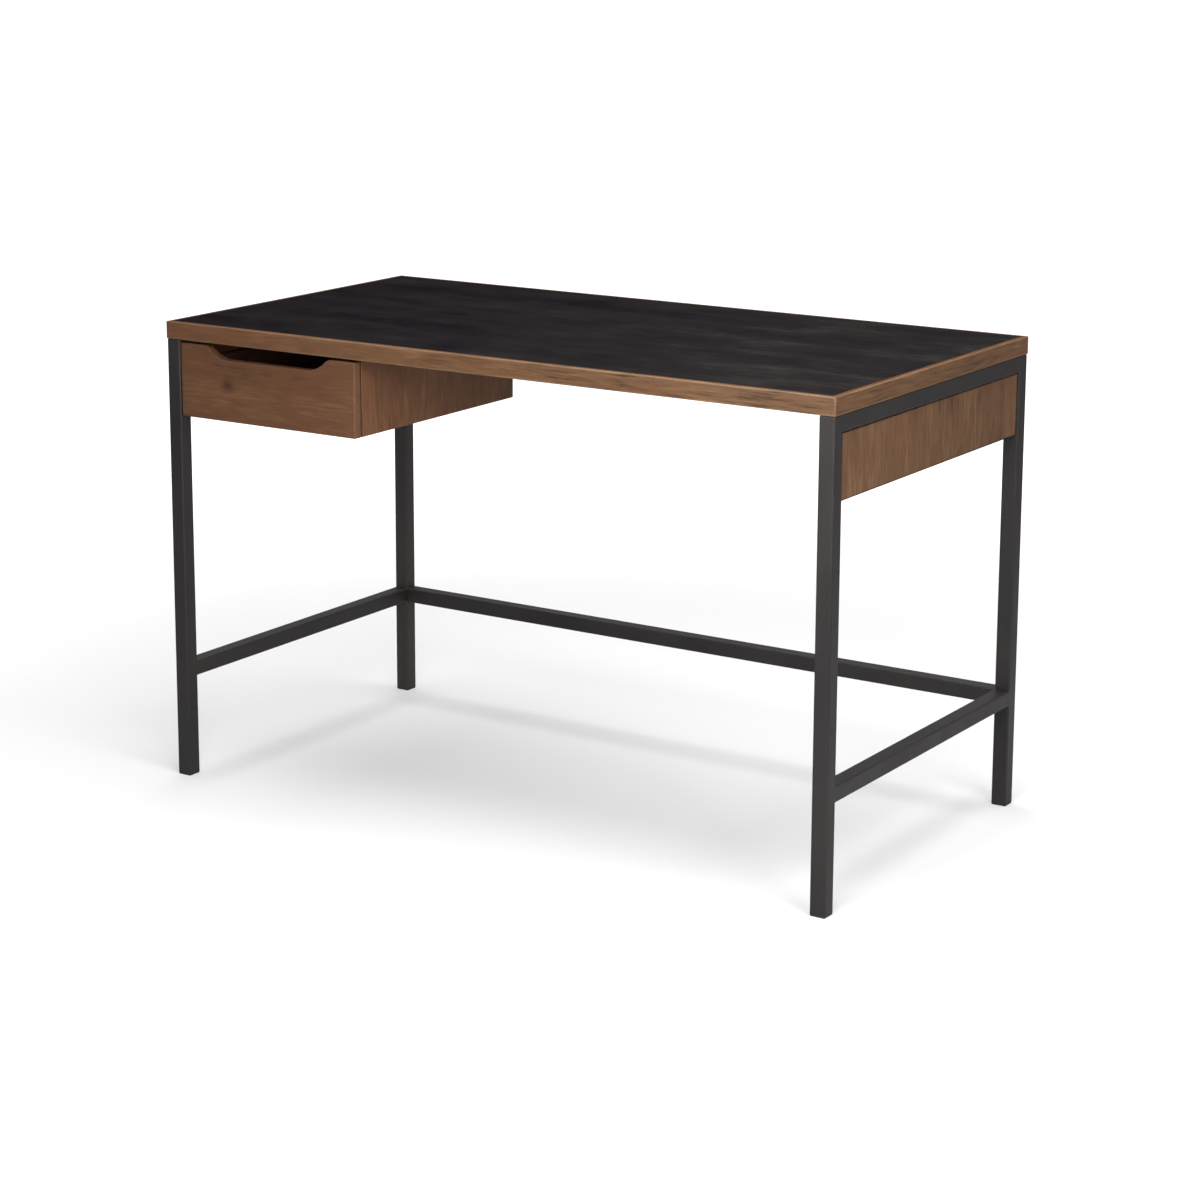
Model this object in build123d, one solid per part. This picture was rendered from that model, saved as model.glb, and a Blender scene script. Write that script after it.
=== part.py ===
from build123d import *
import math
import os

# A writing desk: an edged board on a welded frame of square steel tube, with one drawer hanging
# in a wooden case under its left end and a thin wooden panel closing each end of the frame.
# Millimetres, +Z up. The origin is on the floor under the middle of the board. The front is -Y.

# ---------------------------------------------------------------- driving dimensions
DESK_LENGTH = 1200
DESK_DEPTH = 625
DESK_HEIGHT = 750
BOARD_THICK = 28
LIPPING_WIDTH = 8

TUBE = 25
TUBE_WALL = 1.5
TUBE_CORNER = 2.3
LEG_SETBACK = 1
GLIDE_THICK = 3
STRETCHER_BOTTOM = 165

APRON_BOTTOM = 599
PANEL_THICK = 16
PANEL_SETBACK = 3.5

FRONT_SETBACK = 3
FRONT_THICK = 16
FRONT_TOP_GAP = 5
FRONT_END_GAP = 0.8
DRAWER_RIGHT = -228
CASE_GAP = 1.5
CASE_DEPTH = 410
CASE_THICK = 15
CASE_BOARD = 12
CASE_SHY = 0.7

BOX_DEPTH = 365
BOX_BOTTOM = 616
BOX_TOP = 694
BOX_WALL = 12
BOTTOM_SHEET = 5
BOTTOM_SHEET_UP = 8
GROOVE_DEPTH = 5
GROOVE_SLACK = 0.1

RUNNER_LENGTH = 350
RUNNER_HEIGHT = 35
RUNNER_WIDTH = 12.7
RUNNER_SHY = 3
RUNNER_CENTRE_Z = 655

PILOT_SLACK = 0.05
SHARP_EDGE = 0.6

# ---------------------------------------------------------------- places worked out from them
BOARD_BOTTOM = DESK_HEIGHT - BOARD_THICK
LEG_OUT_X = DESK_LENGTH / 2 - LEG_SETBACK
LEG_OUT_Y = DESK_DEPTH / 2 - LEG_SETBACK
LEG_IN_X = LEG_OUT_X - TUBE
LEG_IN_Y = LEG_OUT_Y - TUBE
LEG_MID_X = LEG_OUT_X - TUBE / 2
LEG_MID_Y = LEG_OUT_Y - TUBE / 2
RAIL_MID_Z = BOARD_BOTTOM - TUBE / 2
STRETCHER_MID_Z = STRETCHER_BOTTOM + TUBE / 2

FRONT_LEFT = -LEG_IN_X + FRONT_END_GAP
FRONT_FACE_Y = -LEG_OUT_Y + FRONT_SETBACK
FRONT_BACK_Y = FRONT_FACE_Y + FRONT_THICK
FRONT_TOP = BOARD_BOTTOM - FRONT_TOP_GAP
FRONT_MID_X = (FRONT_LEFT + DRAWER_RIGHT) / 2

CASE_FRONT_Y = FRONT_BACK_Y + CASE_GAP
CASE_BACK_Y = CASE_FRONT_Y + CASE_DEPTH
CASE_LEFT = FRONT_LEFT + CASE_SHY
CASE_IN_LEFT = CASE_LEFT + CASE_THICK
CASE_IN_RIGHT = DRAWER_RIGHT - CASE_THICK

BOX_LEFT = CASE_IN_LEFT + RUNNER_WIDTH
BOX_RIGHT = CASE_IN_RIGHT - RUNNER_WIDTH
BOX_BACK_Y = FRONT_BACK_Y + BOX_DEPTH
BOTTOM_SHEET_Z = BOX_BOTTOM + BOTTOM_SHEET_UP

RUNNER_FRONT_Y = CASE_FRONT_Y + RUNNER_SHY


def block(x0, x1, y0, y1, z0, z1):
    """A plain block between two corners."""
    size = Box(x1 - x0, y1 - y0, z1 - z0)
    return Pos((x0 + x1) / 2, (y0 + y1) / 2, (z0 + z1) / 2) * size


def eased(board, radius=SHARP_EDGE):
    """A board with all its edges slightly rounded."""
    return fillet(board.edges(), radius)


def join(pieces):
    """Several separate solids kept as one node."""
    return Compound(children=[Solid(p.wrapped) for p in singles(pieces)])


def singles(pieces):
    """Every solid of a list of shapes."""
    return [solid for piece in pieces for solid in piece.solids()]


# ---------------------------------------------------------------- fasteners
HEAD_ROUND = 0.45
TIP_TAPER = 0.6
SLOT_LONG = 1.1
SLOT_WIDE = 0.24
SLOT_DEEP = 0.5


class Screw:
    """A cross-head wood screw: its thread points along +Z from the underside of its head at z = 0.

    The shares above size its round-over, its tip and its cross slot from its own radii and head height.
    """

    def __init__(self, shank_r, length, head_r, head_h):
        self.shank_r = shank_r
        self.length = length
        self.head_r = head_r
        self.head_h = head_h

    def solid(self):
        """The screw itself."""
        head = Pos(0, 0, -self.head_h / 2) * Cylinder(self.head_r, self.head_h)
        head = fillet(head.edges().sort_by(Axis.Z)[0], self.head_h * HEAD_ROUND)
        shank = Pos(0, 0, self.length / 2) * Cylinder(self.shank_r, self.length)
        shank = chamfer(shank.edges().sort_by(Axis.Z)[-1], self.shank_r * TIP_TAPER)
        slot_long = self.head_r * SLOT_LONG
        slot_wide = self.head_r * SLOT_WIDE
        slot_deep = self.head_h * SLOT_DEEP
        slot_z = -self.head_h + slot_deep / 2
        cross = Box(slot_long, slot_wide, slot_deep) + Box(slot_wide, slot_long, slot_deep)
        return head + shank - Pos(0, 0, slot_z) * cross

    def pilot(self):
        """The hole that its thread fills."""
        deep = self.length + 2 * PILOT_SLACK
        return Pos(0, 0, deep / 2) * Cylinder(self.shank_r + PILOT_SLACK, deep)


TOP_SCREW = Screw(2.0, 18, 4.2, 2.6)
PANEL_SCREW = Screw(1.8, 14, 3.8, 2.2)
BRACKET_SCREW = Screw(1.6, 12, 3.4, 1.9)
RUNNER_SCREW = Screw(1.6, 11, 3.2, 1.4)
BACK_SCREW = Screw(1.7, 28, 3.2, 2.0)

# turns that send a screw's thread along each direction
INTO_UP = Rot(0, 0, 0)
INTO_RIGHT = Rot(0, 90, 0)
INTO_LEFT = Rot(0, -90, 0)


def place_screws(kind, places):
    """The screws and their pilot holes at a list of places."""
    screws = [place * kind.solid() for place in places]
    pilots = [place * kind.pilot() for place in places]
    return screws, pilots


def drill(board, pilots):
    """A board with the holes that its screws or dowels need."""
    for pilot in pilots:
        board = board - pilot
    return board


# ---------------------------------------------------------------- square tube
def tube_section():
    """The section of the square tube."""
    bore = TUBE - 2 * TUBE_WALL
    return RectangleRounded(TUBE, TUBE, TUBE_CORNER) - RectangleRounded(bore, bore, TUBE_CORNER - TUBE_WALL)


def tube(axis_plane, length):
    """A length of square tube, centred on a plane and running along its normal."""
    return extrude(axis_plane * tube_section(), length / 2, both=True)


CAP_THICK = 2.5
CAP_ROUND = 2.2


def frame_tubes():
    """The legs, the top rails and the low stretchers."""
    nodes = {}
    leg_low = GLIDE_THICK
    leg_high = BOARD_BOTTOM - CAP_THICK
    for front_name, sy in (("front", -1), ("back", 1)):
        for side_name, sx in (("left", -1), ("right", 1)):
            leg = tube(Plane.XY, leg_high - leg_low)
            leg = Pos(sx * LEG_MID_X, sy * LEG_MID_Y, (leg_low + leg_high) / 2) * leg
            nodes[f"leg_{front_name}_{side_name}"] = leg
    for side_name, sx in (("left", -1), ("right", 1)):
        run = tube(Plane.XZ, 2 * LEG_IN_Y)
        nodes[f"side_rail_{side_name}"] = Pos(sx * LEG_MID_X, 0, RAIL_MID_Z) * run
        nodes[f"stretcher_{side_name}"] = Pos(sx * LEG_MID_X, 0, STRETCHER_MID_Z) * run
    run = tube(Plane.YZ, 2 * LEG_IN_X)
    nodes["rear_rail"] = Pos(0, LEG_MID_Y, RAIL_MID_Z) * run
    nodes["stretcher_rear"] = Pos(0, LEG_MID_Y, STRETCHER_MID_Z) * run
    return nodes


def leg_caps():
    """The plates that close the leg tops, rounded over where they are ground flush."""
    cap = extrude(RectangleRounded(TUBE, TUBE, TUBE_CORNER), CAP_THICK)
    cap = fillet(cap.faces().sort_by(Axis.Z)[-1].edges(), CAP_ROUND)
    cap_z = BOARD_BOTTOM - CAP_THICK
    caps = [Pos(sx * LEG_MID_X, sy * LEG_MID_Y, cap_z) * cap for sx in (-1, 1) for sy in (-1, 1)]
    return {"leg_caps": join(caps)}


GLIDE_SHY = 0.3
GLIDE_ROUND = 1.0
PLUG_SLACK = 0.15
PLUG_TALL = 16
PLUG_ROUND = 0.8
PLUG_WALL = 2
PLUG_FLOOR = 1
PLUG_RIB = 1.6


def foot_glides():
    """The plastic glide in each leg: a flat foot with a hollow ribbed plug above it."""
    foot_size = TUBE - 2 * GLIDE_SHY
    foot = extrude(RectangleRounded(foot_size, foot_size, TUBE_CORNER - GLIDE_SHY), GLIDE_THICK)
    foot = fillet(foot.faces().sort_by(Axis.Z)[0].edges(), GLIDE_ROUND)
    plug_size = TUBE - 2 * TUBE_WALL - 2 * PLUG_SLACK
    hollow = plug_size - 2 * PLUG_WALL
    plug = extrude(RectangleRounded(plug_size, plug_size, PLUG_ROUND), PLUG_TALL)
    plug = plug - Pos(0, 0, PLUG_TALL / 2 + PLUG_FLOOR) * Box(hollow, hollow, PLUG_TALL)
    rib_long = hollow + PLUG_WALL / 2
    rib = Box(rib_long, PLUG_RIB, PLUG_TALL) + Box(PLUG_RIB, rib_long, PLUG_TALL)
    rib = Pos(0, 0, PLUG_TALL / 2) * rib
    glide = foot + Pos(0, 0, GLIDE_THICK) * (plug + rib)
    nodes = {}
    for front_name, sy in (("front", -1), ("back", 1)):
        for side_name, sx in (("left", -1), ("right", 1)):
            nodes[f"foot_glide_{front_name}_{side_name}"] = Pos(sx * LEG_MID_X, sy * LEG_MID_Y, 0) * glide
    return nodes


# ---------------------------------------------------------------- tabs that hold the board
TAB_THICK = 3
TAB_REACH = 31
TAB_WIDE = 30
TAB_HOLE_IN = 8
TAB_HOLE_R = 2.3
TAB_ROUND = 6
SIDE_TAB_YS = (-230, 0, 230)
REAR_TAB_XS = (-120, 160, 440)


def top_tab():
    """One flat tab, reaching along +X from the rail's face at x = 0, with its hole."""
    tab = Pos(TAB_REACH / 2, 0, -TAB_THICK / 2) * Box(TAB_REACH, TAB_WIDE, TAB_THICK)
    tab = fillet(tab.edges().filter_by(Axis.Z).sort_by(Axis.X)[-2:], TAB_ROUND)
    return tab - Pos(TAB_REACH - TAB_HOLE_IN, 0, -TAB_THICK / 2) * Cylinder(TAB_HOLE_R, TAB_THICK + 2)


def top_tab_places():
    """Where each tab's rail face is, turned so that the tab reaches inwards."""
    left = [Pos(-LEG_IN_X, y, BOARD_BOTTOM) for y in SIDE_TAB_YS]
    right = [Pos(LEG_IN_X, y, BOARD_BOTTOM) * Rot(0, 0, 180) for y in SIDE_TAB_YS]
    rear = [Pos(x, LEG_IN_Y, BOARD_BOTTOM) * Rot(0, 0, -90) for x in REAR_TAB_XS]
    return left + right + rear


def top_fixings():
    """The tabs, their screws, and the pilot holes that the board needs."""
    places = top_tab_places()
    tabs = [place * top_tab() for place in places]
    screw_places = [place * Pos(TAB_REACH - TAB_HOLE_IN, 0, -TAB_THICK) * INTO_UP for place in places]
    screws, pilots = place_screws(TOP_SCREW, screw_places)
    return {"top_fixing_tabs": join(tabs), "top_fixing_screws": join(screws)}, pilots


# ---------------------------------------------------------------- end panels
PANEL_TAB_THICK = 3
PANEL_TAB_REACH = 24
PANEL_TAB_TALL = 18
PANEL_TAB_ZS = (APRON_BOTTOM + 22, APRON_BOTTOM + 76)
PANEL_TAB_HOLE_IN = 8
PANEL_TAB_HOLE_R = 2.1
PANEL_GAP = 1
PANEL_TOP_GAP = 1.5
PANEL_ROUND = 1.2


def end_panels():
    """A thin wooden panel at each end, with the welded tabs and the screws that hold it."""
    outer_x = LEG_OUT_X - PANEL_SETBACK
    inner_x = outer_x - PANEL_THICK
    half_y = LEG_IN_Y - PANEL_GAP
    top_z = BOARD_BOTTOM - TUBE - PANEL_TOP_GAP
    nodes = {}
    tabs = []
    screws = []
    for side_name, sx, into in (("left", -1, INTO_LEFT), ("right", 1, INTO_RIGHT)):
        ends = sorted((sx * inner_x, sx * outer_x))
        panel = eased(block(*ends, -half_y, half_y, APRON_BOTTOM, top_z), PANEL_ROUND)
        places = []
        for sy in (-1, 1):
            for z in PANEL_TAB_ZS:
                tab_x = sx * (inner_x - PANEL_TAB_THICK / 2)
                tab_y = sy * (LEG_IN_Y - PANEL_TAB_REACH / 2)
                screw_y = sy * (LEG_IN_Y - PANEL_TAB_REACH + PANEL_TAB_HOLE_IN)
                tab = Pos(tab_x, tab_y, z) * Box(PANEL_TAB_THICK, PANEL_TAB_REACH, PANEL_TAB_TALL)
                hole = Rot(0, 90, 0) * Cylinder(PANEL_TAB_HOLE_R, PANEL_TAB_THICK + 2)
                hole = Pos(tab_x, screw_y, z) * hole
                tabs.append(tab - hole)
                places.append(Pos(sx * (inner_x - PANEL_TAB_THICK), screw_y, z) * into)
        side_screws, pilots = place_screws(PANEL_SCREW, places)
        screws += side_screws
        nodes[f"end_panel_{side_name}"] = drill(panel, pilots)
    nodes["panel_tabs"] = join(tabs)
    nodes["panel_screws"] = join(screws)
    return nodes


# ---------------------------------------------------------------- top board
SURFACE_THICK = 1.0
BACKING_THICK = 0.8
LIPPING_ROUND = 2.0


def lipping():
    """The solid-wood edging: one rounded ring of wood, cut into four mitred lengths."""
    half_x = DESK_LENGTH / 2
    half_y = DESK_DEPTH / 2
    ring = block(-half_x, half_x, -half_y, half_y, BOARD_BOTTOM, DESK_HEIGHT)
    ring = fillet(ring.edges(), LIPPING_ROUND)
    in_x = half_x - LIPPING_WIDTH
    in_y = half_y - LIPPING_WIDTH
    ring = ring - block(-in_x, in_x, -in_y, in_y, BOARD_BOTTOM - 1, DESK_HEIGHT + 1)
    spare = 5
    far_x = half_x + spare
    far_y = half_y + spare
    zones = {
        "lipping_front": [(-far_x, -far_y), (far_x, -far_y), (in_x, -in_y), (-in_x, -in_y)],
        "lipping_back": [(-far_x, far_y), (-in_x, in_y), (in_x, in_y), (far_x, far_y)],
        "lipping_left": [(-far_x, -far_y), (-in_x, -in_y), (-in_x, in_y), (-far_x, far_y)],
        "lipping_right": [(far_x, -far_y), (far_x, far_y), (in_x, in_y), (in_x, -in_y)],
    }
    nodes = {}
    for name, corners in zones.items():
        zone = extrude(make_face(Polyline(*corners, close=True)), BOARD_THICK + 2)
        nodes[name] = ring & Pos(0, 0, BOARD_BOTTOM - 1) * zone
    return nodes


def board(pilots):
    """The board inside the edging: black top face, core, and balancing sheet."""
    in_x = DESK_LENGTH / 2 - LIPPING_WIDTH
    in_y = DESK_DEPTH / 2 - LIPPING_WIDTH
    core_low = BOARD_BOTTOM + BACKING_THICK
    core_high = DESK_HEIGHT - SURFACE_THICK
    return {
        "desktop_surface": block(-in_x, in_x, -in_y, in_y, core_high, DESK_HEIGHT),
        "desktop_core": drill(block(-in_x, in_x, -in_y, in_y, core_low, core_high), pilots),
        "desktop_backing": drill(block(-in_x, in_x, -in_y, in_y, BOARD_BOTTOM, core_low), pilots),
    }


# ---------------------------------------------------------------- drawer case
DOWEL_R = 3
DOWEL_LENGTH = 20
DOWEL_TAPER = 0.8
BOTTOM_DOWEL_YS = (CASE_FRONT_Y + 40, CASE_FRONT_Y + 190, CASE_FRONT_Y + 340)
BACK_DOWEL_ZS = (APRON_BOTTOM + 40, BOARD_BOTTOM - 30)
BRACKET_THICK = 2
BRACKET_LEG = 20
BRACKET_WIDE = 18
BRACKET_YS = (-120, 70)
BRACKET_HOLE = 0.6
BRACKET_HOLE_R = 1.9
TAB_NOTCH_SLACK = 0.6
PAD_R = 3.5
PAD_CLEAR = 0.3
PAD_IN = 14


def case_dowel_places():
    """Dowel centres in the joints between the case's sides and its bottom and back."""
    places = []
    for joint_x in (CASE_IN_LEFT, CASE_IN_RIGHT):
        for y in BOTTOM_DOWEL_YS:
            places.append(Pos(joint_x, y, APRON_BOTTOM + CASE_BOARD / 2) * INTO_RIGHT)
        for z in BACK_DOWEL_ZS:
            places.append(Pos(joint_x, CASE_BACK_Y - CASE_BOARD / 2, z) * INTO_RIGHT)
    return places


def dowel_and_hole():
    """A dowel with tapered ends, and the hole that it is glued into."""
    dowel = chamfer(Cylinder(DOWEL_R, DOWEL_LENGTH).edges(), DOWEL_TAPER)
    return dowel, Cylinder(DOWEL_R + PILOT_SLACK, DOWEL_LENGTH + 1)


def bracket():
    """A steel angle: one leg up a case side at x = 0, the other along the board's underside at z = 0."""
    arm = Pos(BRACKET_LEG / 2, 0, -BRACKET_THICK / 2) * Box(BRACKET_LEG, BRACKET_WIDE, BRACKET_THICK)
    leg = Pos(BRACKET_THICK / 2, 0, -BRACKET_LEG / 2) * Box(BRACKET_THICK, BRACKET_WIDE, BRACKET_LEG)
    hole = Cylinder(BRACKET_HOLE_R, BRACKET_THICK * 3)
    mid = BRACKET_LEG * BRACKET_HOLE
    angle = arm + leg - Pos(mid, 0, -BRACKET_THICK / 2) * hole
    return angle - Pos(BRACKET_THICK / 2, 0, -mid) * Rot(0, 90, 0) * hole


def drawer_case():
    """The hanging case: two sides, back and bottom, with its dowels and the brackets that hang it."""
    dowel_places = case_dowel_places()
    dowel, dowel_hole = dowel_and_hole()
    dowels = [place * dowel for place in dowel_places]
    dowel_holes = [place * dowel_hole for place in dowel_places]

    brackets = []
    into_side = []
    into_board = []
    mid = BRACKET_LEG * BRACKET_HOLE
    for wall_x, turn in ((CASE_IN_LEFT, 0), (CASE_IN_RIGHT, 180)):
        for y in BRACKET_YS:
            corner = Pos(wall_x, y, BOARD_BOTTOM) * Rot(0, 0, turn)
            brackets.append(corner * bracket())
            into_board.append(corner * Pos(mid, 0, -BRACKET_THICK) * INTO_UP)
            into_side.append(corner * Pos(BRACKET_THICK, 0, -mid) * INTO_LEFT)
    side_screws, side_pilots = place_screws(BRACKET_SCREW, into_side)
    board_screws, board_pilots = place_screws(BRACKET_SCREW, into_board)

    runner_places = [(CASE_IN_LEFT + RUNNER_WEB, INTO_LEFT), (CASE_IN_RIGHT - RUNNER_WEB, INTO_RIGHT)]
    runner_screws, runner_pilots = runner_screw_row(runner_places)

    holes = dowel_holes + side_pilots + runner_pilots
    sides = {}
    for name, x0, x1 in (("left", CASE_LEFT, CASE_IN_LEFT), ("right", CASE_IN_RIGHT, DRAWER_RIGHT)):
        side = eased(block(x0, x1, CASE_FRONT_Y, CASE_BACK_Y, APRON_BOTTOM, BOARD_BOTTOM))
        sides[name] = drill(side, holes)
    for y in SIDE_TAB_YS[:2]:
        half = TAB_WIDE / 2 + TAB_NOTCH_SLACK
        notch_z = BOARD_BOTTOM - TAB_THICK - TAB_NOTCH_SLACK
        notch = block(CASE_LEFT - 1, CASE_IN_LEFT + 1, y - half, y + half, notch_z, BOARD_BOTTOM + 1)
        sides["left"] = sides["left"] - notch

    inside_y = CASE_BACK_Y - CASE_BOARD
    bottom_top = APRON_BOTTOM + CASE_BOARD
    case_bottom = block(CASE_IN_LEFT, CASE_IN_RIGHT, CASE_FRONT_Y, CASE_BACK_Y, APRON_BOTTOM, bottom_top)
    case_back = block(CASE_IN_LEFT, CASE_IN_RIGHT, inside_y, CASE_BACK_Y, bottom_top, BOARD_BOTTOM)

    pad_thick = CASE_GAP - PAD_CLEAR
    pad = Rot(90, 0, 0) * Cylinder(PAD_R, pad_thick)
    pad_y = CASE_FRONT_Y - pad_thick / 2
    pads = []
    for x in (CASE_LEFT + CASE_THICK / 2, DRAWER_RIGHT - CASE_THICK / 2):
        for z in (APRON_BOTTOM + PAD_IN, FRONT_TOP - PAD_IN):
            pads.append(Pos(x, pad_y, z) * pad)

    nodes = {
        "case_side_left": sides["left"],
        "case_side_right": sides["right"],
        "case_bottom": drill(case_bottom, dowel_holes),
        "case_back": drill(case_back, dowel_holes),
        "case_dowels": join(dowels),
        "case_brackets": join(brackets),
        "case_bracket_screws": join(side_screws + board_screws),
        "runner_outer_screws": join(runner_screws),
        "drawer_stop_pads": join(pads),
    }
    return nodes, board_pilots


# ---------------------------------------------------------------- drawer runners
# u is the distance from the case side, v the height above the runner's centre line
RUNNER_WEB = 1.2
OUTER_FLANGE_U = 8.6
MIDDLE_U0 = 4.2
MIDDLE_U1 = 9.6
MIDDLE_HALF = 13.0
INNER_U0 = 6.6
INNER_HALF = 9.0
BEND = 1.0
BALL_GAP = 0.3
CAGE_LENGTH = 120
CAGE_THICK = 0.6
CAGE_WIDE = 3.6
BALL_PITCH = 15
BALLS_PER_CAGE = 8
CAGE_SLACK = 0.15
CAGE_FRONT_Y = RUNNER_FRONT_Y + 113
RUNNER_HOLE_R = 1.9
RUNNER_SCREW_YS = (RUNNER_FRONT_Y + 35, RUNNER_FRONT_Y + 175, RUNNER_FRONT_Y + 310)


def channel(u_web, u_tip, half):
    """A C-shaped section, its web at u_web and its flanges reaching to u_tip."""
    toward = math.copysign(1, u_tip - u_web)
    web_far = u_web + toward * RUNNER_WEB
    mid_u = (u_web + u_tip) / 2
    wide = abs(u_tip - u_web)
    outline = Pos(mid_u, 0) * Rectangle(wide, 2 * half)
    hollow_wide = abs(u_tip - web_far) + 1
    hollow = Pos(web_far + toward * hollow_wide / 2, 0) * Rectangle(hollow_wide, 2 * (half - RUNNER_WEB))
    section = outline - hollow
    bends = section.vertices().sort_by(Axis.X, reverse=toward < 0)[:2]
    return fillet(bends, BEND)


def along_runner(section):
    """A section in u and v made into a full-length runner member, u along +X from x = 0."""
    member = extrude(Plane.XZ * section, -RUNNER_LENGTH)
    return Pos(0, RUNNER_FRONT_Y, RUNNER_CENTRE_Z) * member


def runner_screw_row(faces):
    """Three screws through each runner member: faces lists (x of the web's free face, direction)."""
    places = [Pos(x, y, RUNNER_CENTRE_Z) * into for x, into in faces for y in RUNNER_SCREW_YS]
    return place_screws(RUNNER_SCREW, places)


def screw_holes(u_face):
    """Clearance holes for the three screws in a runner member's web."""
    hole = Rot(0, 90, 0) * Cylinder(RUNNER_HOLE_R, 6)
    return [Pos(u_face, y, RUNNER_CENTRE_Z) * hole for y in RUNNER_SCREW_YS]


def ball_row(u, v, radius):
    """One cage strip and its balls, above the centre line if v is positive."""
    strip = block(u - CAGE_WIDE / 2, u + CAGE_WIDE / 2, CAGE_FRONT_Y, CAGE_FRONT_Y + CAGE_LENGTH,
                  RUNNER_CENTRE_Z + v - CAGE_THICK / 2, RUNNER_CENTRE_Z + v + CAGE_THICK / 2)
    balls = []
    for i in range(BALLS_PER_CAGE):
        y = CAGE_FRONT_Y + CAGE_LENGTH / 2 + (i - (BALLS_PER_CAGE - 1) / 2) * BALL_PITCH
        spot = Pos(u, y, RUNNER_CENTRE_Z + v)
        strip = strip - spot * Cylinder(radius + CAGE_SLACK, CAGE_THICK + 1)
        balls.append(spot * Sphere(radius))
    return strip, balls


def runners():
    """Both runners. The right one is the left one mirrored."""
    left_face = Pos(CASE_IN_LEFT, 0, 0)
    right_face = Pos(CASE_IN_RIGHT, 0, 0)
    outer = drill(along_runner(channel(0, OUTER_FLANGE_U, RUNNER_HEIGHT / 2)), screw_holes(0))
    middle = along_runner(channel(MIDDLE_U0, MIDDLE_U1, MIDDLE_HALF))
    inner = drill(along_runner(channel(RUNNER_WIDTH, INNER_U0, INNER_HALF)), screw_holes(RUNNER_WIDTH))

    outer_race = RUNNER_HEIGHT / 2 - RUNNER_WEB
    outer_ball_r = (outer_race - MIDDLE_HALF) / 2 - BALL_GAP
    inner_ball_r = (MIDDLE_HALF - RUNNER_WEB - INNER_HALF) / 2 - BALL_GAP
    outer_v = (outer_race + MIDDLE_HALF) / 2
    inner_v = (MIDDLE_HALF - RUNNER_WEB + INNER_HALF) / 2
    outer_u = (MIDDLE_U0 + OUTER_FLANGE_U) / 2
    inner_u = (INNER_U0 + MIDDLE_U1) / 2

    cages = {"outer": [], "inner": []}
    balls = {"outer": [], "inner": []}
    rows = (("outer", outer_u, outer_v, outer_ball_r), ("inner", inner_u, inner_v, inner_ball_r))
    for name, u, v, radius in rows:
        for up in (1, -1):
            strip, row = ball_row(u, up * v, radius)
            for place in (lambda s: left_face * s, lambda s: right_face * mirror(s, Plane.YZ)):
                cages[name].append(place(strip))
                balls[name] += [place(ball) for ball in row]

    nodes = {}
    for name, member in (("outer", outer), ("middle", middle), ("inner", inner)):
        nodes[f"runner_{name}_left"] = left_face * member
        nodes[f"runner_{name}_right"] = right_face * mirror(member, Plane.YZ)
    for name in cages:
        nodes[f"ball_cages_{name}"] = join(cages[name])
        nodes[f"balls_{name}"] = join(balls[name])
    return nodes


# ---------------------------------------------------------------- drawer
CUTOUT_DEPTH = 20
CUTOUT_HALF_TOP = 121
CUTOUT_SLOPE = 40
CUTOUT_BOTTOM_R = 48
CUTOUT_TOP_R = 14
FRONT_ROUND = 1.2
SIDE_ROUND = 2
BACK_SHY = 4
BOX_JOINT_ZS = (BOX_BOTTOM + 24, BOX_TOP - 14)


def front_outline():
    """The drawer front seen from the front, with the scooped finger cut-out in its top edge."""
    half_flat = CUTOUT_HALF_TOP - CUTOUT_DEPTH / math.tan(math.radians(CUTOUT_SLOPE))
    low = FRONT_TOP - CUTOUT_DEPTH
    corners = [
        (FRONT_LEFT, APRON_BOTTOM),
        (DRAWER_RIGHT, APRON_BOTTOM),
        (DRAWER_RIGHT, FRONT_TOP),
        (FRONT_MID_X + CUTOUT_HALF_TOP, FRONT_TOP),
        (FRONT_MID_X + half_flat, low),
        (FRONT_MID_X - half_flat, low),
        (FRONT_MID_X - CUTOUT_HALF_TOP, FRONT_TOP),
        (FRONT_LEFT, FRONT_TOP),
    ]
    outline = make_face(Polyline(*corners, close=True))

    def inner_corners(z):
        near = [p for p in outline.vertices() if abs(p.X - FRONT_MID_X) < CUTOUT_HALF_TOP + 1]
        return [p for p in near if abs(p.Y - z) < 0.5]

    outline = fillet(inner_corners(low), CUTOUT_BOTTOM_R)
    return fillet(inner_corners(FRONT_TOP), CUTOUT_TOP_R)


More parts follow.
